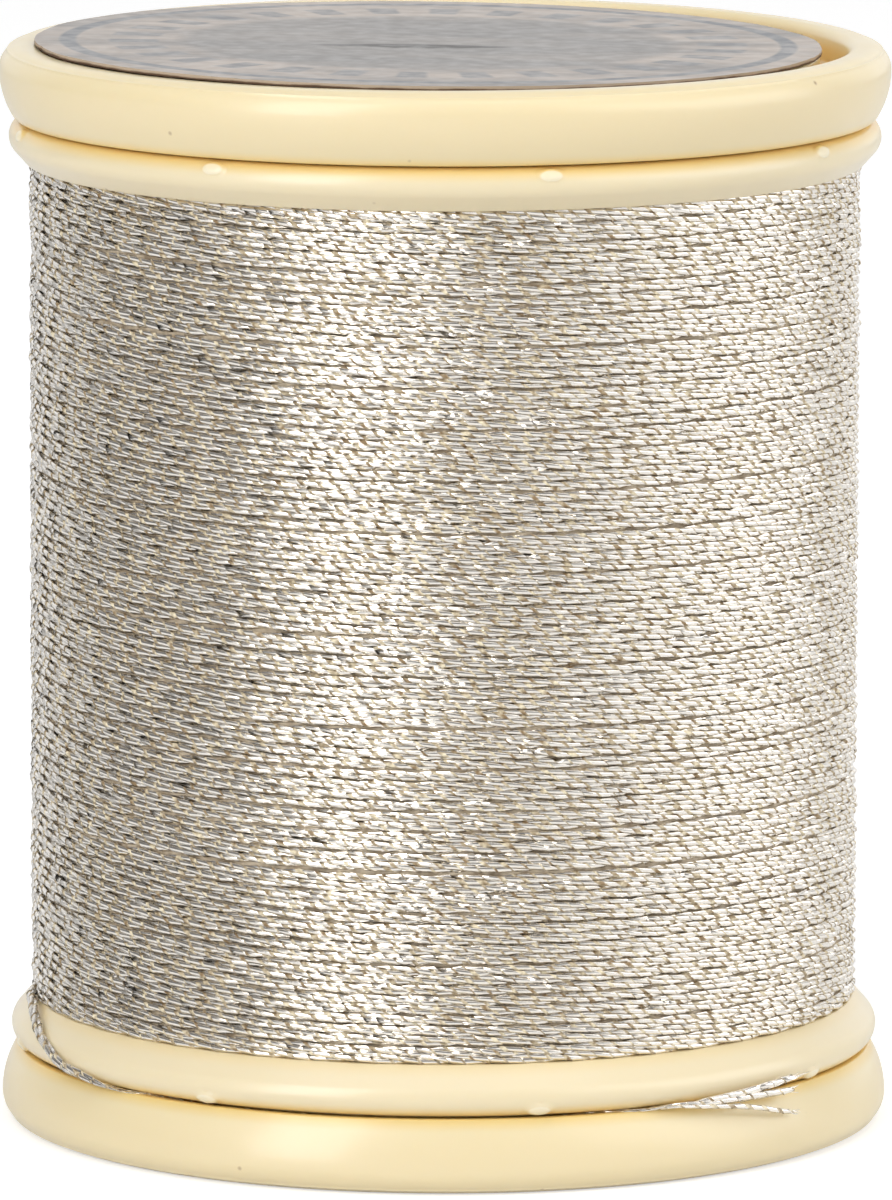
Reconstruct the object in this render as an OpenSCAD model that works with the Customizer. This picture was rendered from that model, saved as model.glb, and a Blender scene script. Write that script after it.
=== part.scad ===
// Thread spool: a moulded barrel with a round-edged ring at each end, two snap end caps that spring
// open by a small travel, a card label, and a wound thread whose tail is nipped in the lower slit.
// Millimetres, +Z up. The origin is the centre of the face that the spool stands on.

/* [Spool] */
// Height over both end caps
spool_h = 36.5; // [30:0.1:60]
// Outer diameter of the end caps
cap_d = 30; // [24:0.1:40]
// How far the barrel's end rings stand back from the caps
ring_inset = 0.32; // [0.2:0.01:0.5]
// How far the winding stands back from the rings
winding_inset = 0.68; // [0.5:0.01:1]
// Thickness of the winding on the barrel's tube
winding_t = 2; // [1.4:0.05:3]
// Wall of the barrel's tube
barrel_wall = 1.2; // [0.9:0.1:1.5]
// Thickness of a ring, from its outer face to the thread
ring_t = 1.5; // [1.3:0.05:2.2]
// How much thicker the lower ring is than that, and how much thinner the upper one is
ring_skew = 0.15; // [0:0.05:0.25]
// Radius of a ring's rounded outer shoulder
ring_round = 0.6; // [0.4:0.05:0.6]

/* [End caps] */
// Height of a cap's rim, from the end face to the slit
cap_h = 2.45; // [2.2:0.05:3.5]
// Radial width of the cap's rim at its crest
rim_w = 1.45; // [1.3:0.05:1.7]
// Radius of the crest's outer rounding
crest_round = 0.8; // [0.6:0.05:0.9]
// Radius of the crest's inner rounding
rim_in_round = 0.35; // [0.2:0.05:0.45]
// Radius of the rim's long flank, from the widest line down to the slit
flank_round = 2.9; // [2:0.1:4]
// Radial width of the groove between the rim and the platform
groove_w = 0.95; // [0.3:0.05:1.1]
// Depth of that groove
groove_depth = 1.2; // [0.8:0.05:1.4]
// How far the platform, the ribs and the hub stand back from the rim's crest
platform_drop = 0.3; // [0.1:0.05:0.4]
// Radial width of the platform's outer wall, which carries the label
platform_w = 0.9; // [0.6:0.05:1.4]
// Depth of the recess between the hub and the platform's wall
recess_depth = 1.35; // [1:0.05:1.6]
// Number of ribs from the hub to the platform's wall
rib_n = 8; // [3:1:12]
// Thickness of a rib
rib_t = 0.8; // [0.5:0.05:1.2]
// Diameter of the bore for the spool pin
bore_d = 7; // [6:0.1:9]
// Wall of the hub round the bore
hub_wall = 1.3; // [1:0.05:2]
// Length of the hub and of its bore
hub_len = 3.4; // [3:0.1:5]

/* [Snap fit] */
// Height of the slit between a ring and its cap
slit = 0.14; // [0.13:0.01:0.3]
// How far a cap springs open
cap_travel = 0.8; // [0.4:0.05:1.2]
// How deep the cap's plug reaches, from the end face
plug_len = 5.7; // [5.6:0.1:8]
// Wall of the plug
plug_wall = 1; // [0.7:0.05:1.4]
// Radial running clearance of the plug in the barrel
plug_gap = 0.05; // [0.03:0.01:0.1]
// Gap left under the cap's seat and at each end of the snap bead
seat_gap = 0.05; // [0.02:0.01:0.1]
// How far the snap bead stands out of the plug
bead_out = 0.15; // [0.1:0.01:0.2]
// Width of the snap bead along the axis
bead_w = 0.4; // [0.3:0.05:0.6]
// Radial width of the thread pocket behind the slit
pocket_w = 0.95; // [0.7:0.05:1.05]
// Depth of the thread pocket into the cap
pocket_depth = 0.35; // [0.25:0.01:0.4]

/* [Nubs] */
// Number of nubs round each ring
nub_n = 8; // [4:1:12]
// Direction of the first nub, in degrees from +X
nub_turn = 12.5; // [0:0.5:45]
// Length of a nub round the ring
nub_len = 0.8; // [0.5:0.05:1.2]
// Radius of a nub's rounded top
nub_r = 0.2; // [0.15:0.01:0.22]
// How far a nub stands out of the shoulder
nub_out = 0.12; // [0.08:0.01:0.14]

/* [Label] */
// How far the card label reaches past the platform
label_over = 0.65; // [-1:0.05:0.75]
// Thickness of the card
label_t = 0.15; // [0.1:0.01:0.3]
// How far the label is glued off centre, so that it rides up on the rim at that side
label_shift = 0.6; // [0.3:0.05:0.8]
// Direction of that side, in degrees from +X
label_turn = 200; // [0:5:355]

/* [Thread] */
// Diameter of the thread
thread_d = 0.34; // [0.3:0.01:0.36]
// Loops of the outermost layer, each standing for a few turns of thread
loops = 24; // [12:1:24]
// Width of one loop of that layer
loop_w = 0.68; // [0.4:0.01:0.69]
// Thickness of the tail where the cap squeezes it
tail_nip = 0.1; // [0.06:0.01:0.12]

/* [Hidden] */
$fn = 96;

ivory = "#F0E0B4";
silver = "#B9B6B1";
card = "#AFABAA";

cap_r = cap_d / 2;
ring_r = cap_r - ring_inset;
winding_r = ring_r - winding_inset;
barrel_r = winding_r - winding_t;
barrel_in_r = barrel_r - barrel_wall;

// Depths are measured along the axis from an end face, so that they serve both ends.
ring_face = cap_h + slit;
low_ring_end = ring_face + ring_t + ring_skew;
high_ring_end = ring_face + ring_t - ring_skew;
seat_face = ring_face - seat_gap;

// Rim of a cap
rim_in_r = cap_r - rim_w;
crest_r = cap_r - crest_round;
platform_r = rim_in_r - groove_w;
recess_r = platform_r - platform_w;
label_r = platform_r + label_over;
hub_r = bore_d / 2 + hub_wall;
flank_end = asin((cap_h - crest_round) / flank_round);
lip_r = cap_r - flank_round + flank_round * cos(flank_end);
lip_w = 0.3;
pocket_out_r = lip_r - lip_w;
pocket_in_r = pocket_out_r - pocket_w;
edge_soft = 0.12;
ring_slope = 0.9;
label_lift = 0.04;
cut_over = 0.5;

// Plug of a cap, and the barrel's channel for its snap bead
plug_r = barrel_in_r - plug_gap;
plug_in_r = plug_r - plug_wall;
bead_end = plug_len - 0.4;
bead_start = bead_end - bead_w;
bead_r = plug_r + bead_out;
channel_r = bead_r + plug_gap;
channel_start = bead_start - cap_travel - seat_gap;
channel_end = bead_end + seat_gap;

// Winding
loop_r = winding_r - loop_w / 2;
loop_rings = 24;
loop_sides = 6;
core_gap = 0.02;
core_r = (loop_r - loop_w / 2) * cos(180 / loop_rings) - core_gap;
winding_bottom = low_ring_end + loop_w / 2;
winding_top = spool_h - high_ring_end - loop_w / 2;
loop_pitch = (winding_top - winding_bottom) / loops;
winding_turn = 172;

// Points on an arc of the profile plane, from angle a0 to a1 in n steps
function arc(centre, r, a0, a1, n = 8) =
  [for (i = [0:n]) let (a = a0 + (a1 - a0) * i / n) centre + r * [cos(a), sin(a)]];

// Point at a direction, a distance from the axis and a height
function polar(turn, r, z) = [r * cos(turn), r * sin(turn), z];

// ---- Tubes swept along points ----------------------------------------------------------------

function unit(v) = v / norm(v);

// Direction of the path at point i
function heading(path, i) =
  unit(path[min(i + 1, len(path) - 1)] - path[max(i - 1, 0)]);

// Outward direction at point i, square to the path
function outward(path, i) =
  let (t = heading(path, i), o = [path[i].x, path[i].y, 0]) unit(o - (o * t) * t);

// One ring of a tube: an ellipse, half_w wide outwards and half_h high along the spool
function ring_points(path, i, half_w, half_h, sides) =
  let (t = heading(path, i), o = outward(path, i), u = cross(t, o))
  [for (k = [0:sides - 1]) let (a = 360 * (k + 0.5) / sides)
    path[i] + half_w * cos(a) * o + half_h * sin(a) * u];

// A closed tube through the points of path; half_w and half_h hold one value for each point
module tube(path, half_w, half_h, sides) {
  n = len(path);
  points = [for (i = [0:n - 1]) each ring_points(path, i, half_w[i], half_h[i], sides)];
  walls = [for (i = [0:n - 2], k = [0:sides - 1])
    let (a = i * sides + k, b = i * sides + (k + 1) % sides) each
    [[a, b, a + sides], [b, b + sides, a + sides]]];
  first = [for (k = [1:sides - 2]) [0, k + 1, k]];
  last_ring = (n - 1) * sides;
  last = [for (k = [1:sides - 2]) [last_ring, last_ring + k, last_ring + k + 1]];
  polyhedron(points = points, faces = [for (f = concat(walls, first, last)) [f[2], f[1], f[0]]]);
}

// The same value n times
function fill(value, n) = [for (i = [1:n]) value];

// ---- Outer layer -----------------------------------------------------------------------------

// The layer winds down from the top, anticlockwise as seen from above. Both ends run straight for
// one width of the loop.
winding_steps = loops * loop_rings;
winding_loops = [for (i = [0:winding_steps])
  polar(winding_turn - 360 * (winding_steps - i) / loop_rings, loop_r,
        winding_top - loop_pitch * i / loop_rings)];
winding_path = concat([winding_loops[0] - loop_w * heading(winding_loops, 0)], winding_loops,
                      [winding_loops[winding_steps] + loop_w * heading(winding_loops, winding_steps)]);

// Gap between two neighbouring loops, measured between their rings
function ring_gap(i) =
  min([for (a = ring_points(winding_path, i, loop_w / 2, loop_w / 2, loop_sides),
            b = ring_points(winding_path, i + loop_rings, loop_w / 2, loop_w / 2, loop_sides))
    norm(a - b)]);
least_gap = min([for (i = [1:loop_rings:winding_steps - loop_rings]) ring_gap(i)]);
echo(str("Least gap of the outer winding to itself: ", least_gap, " mm"));

// ---- Tail ------------------------------------------------------------------------------------

// The tail leaves the winding's bottom end and crosses the ring into the slit. Each point holds its
// direction from +X, how far it lies outside the ring's edge, its height over the middle of the slit
// and how far it is nipped, from 0 to 1.
slit_mid = cap_h + slit / 2;
tail_route = [
  [178, -0.90, 2.04, 0], [184, -0.74, 1.99, 0], [190, -0.55, 1.87, 0], [195, -0.36, 1.70, 0],
  [199, -0.18, 1.37, 0], [203, -0.01, 1.09, 0], [206, 0.12, 0.88, 0], [209.5, 0.19, 0.60, 0],
  [213, 0.17, 0.40, 0], [216, 0.09, 0.26, 0.3], [218.5, 0.01, 0.16, 0.6], [220.5, -0.13, 0.06, 0.9],
  [222.5, -0.27, 0.00, 1], [225, -0.50, 0.00, 1], [228, -0.72, -0.04, 0.6], [232, -0.92, -0.15, 0],
  [237, -0.96, -0.18, 0], [243, -0.97, -0.18, 0], [249, -0.97, -0.18, 0], [255, -0.97, -0.18, 0],
  [261, -0.97, -0.18, 0], [267, -0.97, -0.18, 0], [273, -0.97, -0.18, 0], [279, -0.97, -0.18, 0],
  [284, -0.95, -0.17, 0], [288, -0.88, -0.13, 0.1], [291, -0.72, -0.04, 0.6], [294, -0.48, 0.00, 1],
  [297, -0.28, 0.01, 1], [300, -0.08, 0.06, 0.8], [303, 0.08, 0.07, 0.4], [306, 0.18, 0.05, 0.1]];
// Routes of the three plies that the tail frays into
ply_routes = [
  [[306.4, 0.26, 0.16], [310, 0.30, 0.22], [314, 0.30, 0.26], [318, 0.29, 0.29], [322, 0.27, 0.30]],
  [[306.4, 0.16, -0.03], [310, 0.24, -0.02], [314, 0.30, -0.03], [318, 0.32, -0.01], [320.5, 0.32, 0.02]],
  [[306.4, 0.36, -0.03], [310, 0.46, -0.17], [314, 0.48, -0.34], [317, 0.48, -0.54],
   [320, 0.46, -0.74]]];
ply_d = thread_d / 2;

// Point of the tail in the spool's own frame
function tail_point(p) = polar(p[0], ring_r + p[1], slit_mid + p[2]);

tail_path = concat([winding_path[len(winding_path) - 1]], [for (p = tail_route) tail_point(p)]);
tail_nips = concat([0], [for (p = tail_route) p[3]]);

// ---- Barrel ----------------------------------------------------------------------------------

// Half profile of the barrel at one end, from the bore outwards: [distance from the axis, depth].
// The ring ends at depth ring_end, where the thread starts.
function ring_profile(ring_end) =
  let (round_r = ring_r - ring_round, round_z = ring_face + ring_round,
       neck_r = round_r + ring_round * cos(45), neck_z = round_z + ring_round * sin(45))
  concat(
    [[barrel_in_r, spool_h / 2], [barrel_in_r, channel_end + edge_soft]],
    [[channel_r, channel_end], [channel_r, channel_start], [barrel_in_r, channel_start - edge_soft]],
    [[barrel_in_r, ring_face + edge_soft], [barrel_in_r + edge_soft, ring_face]],
    arc([round_r, round_z], ring_round, -90, 45, 10),
    [[neck_r - (ring_end - neck_z) * ring_slope, ring_end]],
    [[barrel_r, ring_end], [barrel_r, spool_h / 2]]);

module barrel_half(ring_end) {
  rotate_extrude() polygon(ring_profile(ring_end));
  for (i = [0:nub_n - 1]) rotate([0, 0, nub_turn + i * 360 / nub_n]) nub();
}

// A nub lies along the ring, half sunk in the shoulder, and faces the mouth of the slit
module nub() {
  sink = ring_round - nub_r + nub_out;
  bar = nub_len - 2 * nub_r;
  translate([ring_r - ring_round + sink * cos(45), 0, ring_face + ring_round - sink * sin(45)])
    rotate([90, 0, 0]) {
      cylinder(r = nub_r, h = bar, center = true, $fn = 24);
      for (side = [-1, 1]) translate([0, 0, side * bar / 2]) sphere(r = nub_r, $fn = 24);
    }
}

// Turns one end's geometry over for the other end
module other_end() {
  translate([0, 0, spool_h]) mirror([0, 0, 1]) children();
}

module spool_barrel() {
  color(ivory) {
    barrel_half(low_ring_end);
    other_end() barrel_half(high_ring_end);
  }
}

// ---- End caps --------------------------------------------------------------------------------

// Profile of a cap's rim, web and seat, from the hub's bore outwards
function cap_profile() =
  concat(
    [[recess_r, platform_drop], [platform_r - edge_soft, platform_drop]],
    [[platform_r, platform_drop + edge_soft], [platform_r, groove_depth], [rim_in_r, groove_depth]],
    arc([rim_in_r + rim_in_round, rim_in_round], rim_in_round, -180, -90, 6),
    arc([crest_r, crest_round], crest_round, -90, 0),
    arc([cap_r - flank_round, crest_round], flank_round, 0, flank_end, 10),
    [[pocket_out_r, cap_h], [pocket_out_r, cap_h - pocket_depth]],
    [[pocket_in_r, cap_h - pocket_depth], [pocket_in_r, cap_h]],
    [[barrel_r, cap_h], [barrel_r, seat_face], [plug_in_r, seat_face]],
    [[plug_in_r, cap_h], [hub_r, cap_h], [hub_r, recess_depth], [recess_r, recess_depth]]);

// Plug with its snap bead
function plug_profile() =
  [[plug_in_r, cap_h], [plug_r, cap_h], [plug_r, bead_start - bead_out], [bead_r, bead_start],
   [bead_r, bead_end], [plug_r, bead_end + bead_out], [plug_r, plug_len - edge_soft],
   [plug_r - edge_soft, plug_len], [plug_in_r, plug_len]];

module hub() {
  difference() {
    translate([0, 0, platform_drop]) cylinder(r = hub_r, h = hub_len - platform_drop);
    translate([0, 0, -cut_over]) cylinder(r = bore_d / 2, h = hub_len + 2 * cut_over);
  }
}

module ribs() {
  overlap = 0.2;
  for (i = [0:rib_n - 1]) rotate([0, 0, (i + 0.5) * 360 / rib_n])
    translate([hub_r - overlap, -rib_t / 2, platform_drop])
      cube([recess_r - hub_r + 2 * overlap, rib_t, recess_depth + overlap - platform_drop]);
}

module cap() {
  rotate_extrude() polygon(cap_profile());
  rotate_extrude() polygon(plug_profile());
  hub();
  ribs();
}

module bottom_cap() {
  color(ivory) cap();
}

module top_cap() {
  color(ivory) other_end() cap();
}

// ---- Label and thread ------------------------------------------------------------------------

// The label lies on the platform at one side and on the rim at the other, so it leans a little
module top_label() {
  lean = asin(platform_drop / (2 * label_r));
  color(card) rotate([0, 0, label_turn])
    translate([label_shift, 0, spool_h - platform_drop / 2 + label_lift]) rotate([0, -lean, 0])
      cylinder(r = label_r, h = label_t);
}

// The layers under the outermost one fill the barrel between its rings
module inner_winding() {
  color(silver) rotate_extrude() translate([barrel_r, low_ring_end])
    square([core_r - barrel_r, spool_h - low_ring_end - high_ring_end]);
}

module outer_winding() {
  n = len(winding_path);
  half = fill(loop_w / 2, n);
  color(silver) tube(winding_path, half, half, loop_sides);
}

module thread_tail() {
  full = thread_d / 2;
  half_h = [for (nip = tail_nips) full + (tail_nip / 2 - full) * nip];
  half_w = [for (h = half_h) min(full * full / h, full * 1.5)];
  color(silver) {
    tube(tail_path, half_w, half_h, 8);
    for (route = ply_routes) {
      ply = [for (p = route) tail_point(p)];
      half = fill(ply_d / 2, len(ply));
      tube(ply, half, half, 6);
    }
  }
}

spool_barrel();
bottom_cap();
top_cap();
top_label();
inner_winding();
outer_winding();
thread_tail();
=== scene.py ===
# %% [markdown]
# # A small spool of metallic thread
# The spool stands on its lower cap. Its moulded parts are ivory plastic, a round card label lies on the top
# cap, and about eighty turns of a silver cord fill the space between the two rings. Every length here is
# written in millimetres and turned into metres by `MM`, because Blender and the frame both use metres.

# %% Frame and units
import math

import bmesh
import bpy
import numpy as np
from mathutils import Matrix


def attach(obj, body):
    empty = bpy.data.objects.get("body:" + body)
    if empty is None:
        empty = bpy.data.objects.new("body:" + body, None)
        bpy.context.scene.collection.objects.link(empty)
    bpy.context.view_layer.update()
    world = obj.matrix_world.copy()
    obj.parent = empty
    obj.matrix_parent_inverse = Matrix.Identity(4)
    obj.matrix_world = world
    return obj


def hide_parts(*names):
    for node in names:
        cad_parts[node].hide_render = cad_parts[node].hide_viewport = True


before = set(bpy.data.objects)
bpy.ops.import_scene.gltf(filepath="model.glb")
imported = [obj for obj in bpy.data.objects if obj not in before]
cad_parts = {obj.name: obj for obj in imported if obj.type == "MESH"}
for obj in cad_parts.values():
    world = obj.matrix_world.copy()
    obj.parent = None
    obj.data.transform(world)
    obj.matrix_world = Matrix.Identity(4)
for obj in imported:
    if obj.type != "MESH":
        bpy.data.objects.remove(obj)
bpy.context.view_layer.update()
MM = 0.001
SPOOL_H = 36.5
print("frame nodes:", ", ".join(sorted(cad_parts)))

# %% [markdown]
# ## Camera
# A long lens far away keeps the two caps nearly parallel, and the small tilt down shows the label as a flat
# ellipse. A Track To constraint could aim the camera, but a place, a tilt and a roll written as numbers can
# be adjusted one at a time. The roll is a fraction of a degree, as a hand-levelled tripod gives.

# %% Camera
CAMERA_PLACE = (0.058, -420.0, 83.60)
CAMERA_TILT = 8.938
CAMERA_ROLL = 0.097
LENS = 376.8
SENSOR_WIDTH = 36

lens = bpy.data.cameras.new("spool_camera")
lens.lens = LENS
lens.sensor_width = SENSOR_WIDTH
lens.clip_start, lens.clip_end = 0.01, 20
camera = bpy.data.objects.new("spool_camera", lens)
bpy.context.scene.collection.objects.link(camera)
camera.location = [v * MM for v in CAMERA_PLACE]
camera.matrix_world = (Matrix.Translation(camera.location)
                       @ Matrix.Rotation(math.radians(90 - CAMERA_TILT), 4, "X")
                       @ Matrix.Rotation(math.radians(CAMERA_ROLL), 4, "Z"))
bpy.context.scene.camera = camera
print("camera", round(math.hypot(*CAMERA_PLACE) / 10), "cm away, lens", LENS, "mm")

# %% [markdown]
# ## Outlines
# Moulded parts are turned from a half profile, as a toolmaker draws them. A Bevel modifier could round their
# edges, but each edge of a moulding has its own radius. So a profile is a list of corners, each with the
# radius that the mould gives it, and the soft edges that catch the light come from the outline itself.

# %% Arcs and fillets
FILLET_SHARE = 0.48
NEARLY_STRAIGHT = math.radians(89)


def arc(centre, radius, start, end, steps):
    """Points on an arc of the profile, from start to end in degrees."""
    turns = np.radians(np.linspace(start, end, steps + 1))
    return [(centre[0] + radius * math.cos(t), centre[1] + radius * math.sin(t), 0) for t in turns]


def filleted(corners, steps=5):
    """Rounds each (distance, height, radius) corner of a closed outline, as far as its sides have room."""
    points = []
    count = len(corners)
    for i, (x, y, radius) in enumerate(corners):
        here = np.array((x, y))
        before = np.array(corners[i - 1][:2]) - here
        after = np.array(corners[(i + 1) % count][:2]) - here
        room = min(np.linalg.norm(before), np.linalg.norm(after))
        if radius <= 0 or room < 1e-6:
            points.append(here)
            continue
        before, after = before / np.linalg.norm(before), after / np.linalg.norm(after)
        half = math.acos(float(np.clip(before @ after, -1, 1))) / 2
        if half > NEARLY_STRAIGHT:
            points.append(here)
            continue
        reach = min(radius / math.tan(half), room * FILLET_SHARE)
        radius = reach * math.tan(half)
        middle = here + (before + after) / np.linalg.norm(before + after) * radius / math.sin(half)
        first, last = here + before * reach - middle, here + after * reach - middle
        sweep = math.acos(float(np.clip(first @ last / radius ** 2, -1, 1)))
        sign = 1 if first[0] * last[1] - first[1] * last[0] > 0 else -1
        for k in range(steps + 1):
            a = sign * sweep * k / steps
            points.append(middle + np.array((first[0] * math.cos(a) - first[1] * math.sin(a),
                                             first[0] * math.sin(a) + first[1] * math.cos(a))))
    return np.array(points)


print("outline helpers ready; a fillet takes at most", FILLET_SHARE, "of a side")

# %% [markdown]
# ## Meshes from arrays
# The thread alone has more than 700 000 faces. Blender's operators could add them bit by bit, but numpy works
# out all the points and faces at once, and `foreach_set` hands them over in a moment.

# %% Mesh from arrays


def mesh_piece(name, verts, faces, materials, face_material=None, smooth=True, sharp=None, uv=None):
    """Makes an object from arrays. Faces all have the same number of corners."""
    verts, faces = np.asarray(verts, np.float32), np.asarray(faces, np.int32)
    mesh = bpy.data.meshes.new(name)
    mesh.vertices.add(len(verts))
    mesh.vertices.foreach_set("co", verts.ravel())
    sides = faces.shape[1]
    mesh.loops.add(faces.size)
    mesh.loops.foreach_set("vertex_index", faces.ravel())
    mesh.polygons.add(len(faces))
    mesh.polygons.foreach_set("loop_start", np.arange(len(faces), dtype=np.int32) * sides)
    for material in materials:
        mesh.materials.append(material)
    if face_material is not None:
        mesh.polygons.foreach_set("material_index", np.asarray(face_material, np.int32))
    mesh.polygons.foreach_set("use_smooth", np.full(len(faces), smooth))
    if uv is not None:
        layer = mesh.uv_layers.new(name="OFBake")
        layer.data.foreach_set("uv", np.asarray(uv, np.float32).ravel())
    mesh.update(calc_edges=True)
    if sharp is not None:
        mesh.set_sharp_from_angle(angle=math.radians(sharp))
    piece = bpy.data.objects.new(name, mesh)
    bpy.context.scene.collection.objects.link(piece)
    return piece


print("arrays become meshes by", mesh_piece.__name__)

# %% [markdown]
# ### Revolving and joining
# A Screw modifier could turn a profile round the axis. Turning it in numpy gives the same mesh, but its
# points stay at hand, so that a lip or a nub can still be pushed out of the round. A turned profile, a rib
# and a fibre are all rows of points, and one function makes the faces between such rows.

# %% Revolving and joining


def looped_faces(rows, columns, closed=False, flipped=False):
    """Faces between rows of vertices, where each row is a loop; closed joins the last row to the first."""
    i, k = np.meshgrid(np.arange(rows if closed else rows - 1), np.arange(columns), indexing="ij")
    i2, k2 = (i + 1) % rows, (k + 1) % columns
    here, ahead = i * columns + k, i2 * columns + k
    here2, ahead2 = i * columns + k2, i2 * columns + k2
    corners = (here, here2, ahead2, ahead) if flipped else (here, ahead, ahead2, here2)
    return np.stack(corners, -1).reshape(-1, 4)


def revolved(outline, steps=300):
    """Vertices and faces of a closed outline turned round the spool's axis."""
    outline = np.asarray(outline, float)
    turns = np.linspace(0, 2 * math.pi, steps, endpoint=False)
    verts = np.empty((steps, len(outline), 3))
    verts[:, :, 0] = np.cos(turns)[:, None] * outline[None, :, 0]
    verts[:, :, 1] = np.sin(turns)[:, None] * outline[None, :, 0]
    verts[:, :, 2] = outline[None, :, 1]
    faces = looped_faces(steps, len(outline), closed=True)
    area = np.sum(outline[:, 0] * np.roll(outline[:, 1], -1) - np.roll(outline[:, 0], -1) * outline[:, 1])
    return verts.reshape(-1, 3), faces if area > 0 else faces[:, ::-1]


def turned_over(verts, faces):
    """The same part at the spool's other end."""
    verts = verts.copy()
    verts[:, 2] = SPOOL_H - verts[:, 2]
    return verts, faces[:, ::-1]


def stacked(*parts):
    """Joins (vertices, faces) pairs into one."""
    start, verts, faces = 0, [], []
    for v, f in parts:
        verts.append(v)
        faces.append(f + start)
        start += len(v)
    return np.concatenate(verts), np.concatenate(faces)


print("faces between two rows of four:", len(looped_faces(2, 4)))

# %% [markdown]
# ## Node helpers
# A finish is a graph of small steps. Such graphs are drawn by hand in the shader editor, but a script can
# hold them as formulas: each helper adds one step and gives back its output, so a finish reads from top to
# bottom. The same helpers serve the room, the floor and every paint.

# %% Node helpers
NODE_SETTINGS = ("operation", "data_type", "interpolation_type")


def feed(tree, made, **inputs):
    """Sets a node's inputs by name, or by number as i0 and i1. A value may be another node's output."""
    for key, value in inputs.items():
        numbered = key[0] == "i" and key[1:].isdigit()
        socket = made.inputs[int(key[1:]) if numbered else key.replace("_", " ")]
        if isinstance(value, bpy.types.NodeSocket):
            tree.links.new(value, socket)
        else:
            socket.default_value = value


def node(tree, kind, **inputs):
    """Adds a node with its settings and inputs."""
    made = tree.nodes.new(kind)
    for key in NODE_SETTINGS:
        if key in inputs:
            setattr(made, key, inputs.pop(key))
    feed(tree, made, **inputs)
    return made


def calc(tree, kind, *values):
    """One maths step on up to three values."""
    numbered = {"i%d" % k: value for k, value in enumerate(values)}
    return node(tree, "ShaderNodeMath", operation=kind, **numbered).outputs[0]


def vector_calc(tree, kind, *values):
    """One step on vectors. A length or a dot product comes out as a number."""
    numbered = {"i%d" % k: value for k, value in enumerate(values)}
    made = node(tree, "ShaderNodeVectorMath", operation=kind, **numbered)
    return made.outputs["Value" if kind in ("LENGTH", "DOT_PRODUCT") else "Vector"]


def levels(tree, value, low, high, at_low, at_high, smooth=False):
    """Turns values from low to high into values from at_low to at_high, and holds them beyond."""
    curve = "SMOOTHSTEP" if smooth else "LINEAR"
    return node(tree, "ShaderNodeMapRange", interpolation_type=curve, Value=value, From_Min=low,
                From_Max=high, To_Min=at_low, To_Max=at_high).outputs[0]


def ramp(tree, value, low, high, at_low, at_high):
    """The same as a smooth step, with low and high in millimetres."""
    return levels(tree, value, low * MM, high * MM, at_low, at_high, smooth=True)


def noise(tree, where, scale, detail):
    """Cloudy noise from 0 to 1; scale is in clouds to the metre."""
    return node(tree, "ShaderNodeTexNoise", Vector=where, Scale=scale, Detail=detail).outputs[0]


def blended(tree, amount, first, second):
    """A colour between first and second, each written as a colour or taken from another node."""
    first, second = (c if isinstance(c, bpy.types.NodeSocket) else (*c, 1) for c in (first, second))
    return node(tree, "ShaderNodeMix", data_type="RGBA", Factor=amount, i6=first, i7=second).outputs[2]


def new_paint(name):
    """A material, its tree and its main shader."""
    paint = bpy.data.materials.new(name)
    paint.use_nodes = True
    return paint, paint.node_tree, paint.node_tree.nodes["Principled BSDF"]


print("node helpers ready; settings:", ", ".join(NODE_SETTINGS))

# %% [markdown]
# ## Room
# A metallic thread only looks metallic if it has something bright and something dark to mirror. A plain world
# colour would make it grey, so for reflected rays the room is white behind the spool, brighter at the right
# and dim on the camera's side. All other light from the room is soft and stronger at the right. The camera
# itself sees plain white.

# %% World
FRONT_MIRRORED, BACK_MIRRORED, RIGHT_MIRRORED = 0.21, 1.0, 0.40
LEFT_FILL, RIGHT_FILL = 0.12, 0.46

world = bpy.data.worlds.new("studio_room")
bpy.context.scene.world = world
world.use_nodes = True
room = world.node_tree
room.nodes.clear()
direction = node(room, "ShaderNodeSeparateXYZ", Vector=node(room, "ShaderNodeTexCoord").outputs["Generated"])
to_right, to_back = direction.outputs["X"], direction.outputs["Y"]
mirrored_back = levels(room, to_back, 0.45, 0.9, FRONT_MIRRORED, BACK_MIRRORED, smooth=True)
mirrored_right = levels(room, to_right, 0.0, 0.8, 0.0, RIGHT_MIRRORED, smooth=True)
mirrored = calc(room, "ADD", mirrored_back, mirrored_right)
fill = levels(room, to_right, -0.8, 0.8, LEFT_FILL, RIGHT_FILL, smooth=True)
rays = node(room, "ShaderNodeLightPath").outputs
level = node(room, "ShaderNodeMix", data_type="FLOAT", Factor=rays["Is Glossy Ray"], A=fill, B=mirrored)
looked_at = calc(room, "MAXIMUM", rays["Is Camera Ray"], rays["Is Transmission Ray"])
strength = node(room, "ShaderNodeMix", data_type="FLOAT", Factor=looked_at, A=level.outputs[0], B=1.0)
background = node(room, "ShaderNodeBackground", Color=(1, 1, 1, 1), Strength=strength.outputs[0])
room.links.new(background.outputs[0], node(room, "ShaderNodeOutputWorld").inputs["Surface"])
bpy.context.scene.view_settings.view_transform = "Standard"
print("room nodes:", len(room.nodes))

# %% [markdown]
# ## Lamps
# Soft boxes at the left, at the right and overhead light the spool, as on a product table. Point lamps or a
# sun would do for plastic, but a round metal thread draws each lamp as a band, so the lamps are as wide and
# as soft as the bands should be.

# %% Soft boxes
LAMP_DISTANCE = 600
# Each row: name, direction (0 is the camera's side, 90 the spool's right), elevation, width, height, radiance
SOFTBOXES = [
    ("softbox_left", -38, 18, 260, 950, 4.8),
    ("softbox_right", 84, 12, 500, 500, 1.9),
    ("softbox_front_right", 50, 30, 220, 400, 1.4),
    ("softbox_top", 0, 88, 600, 600, 1.0)]

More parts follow.
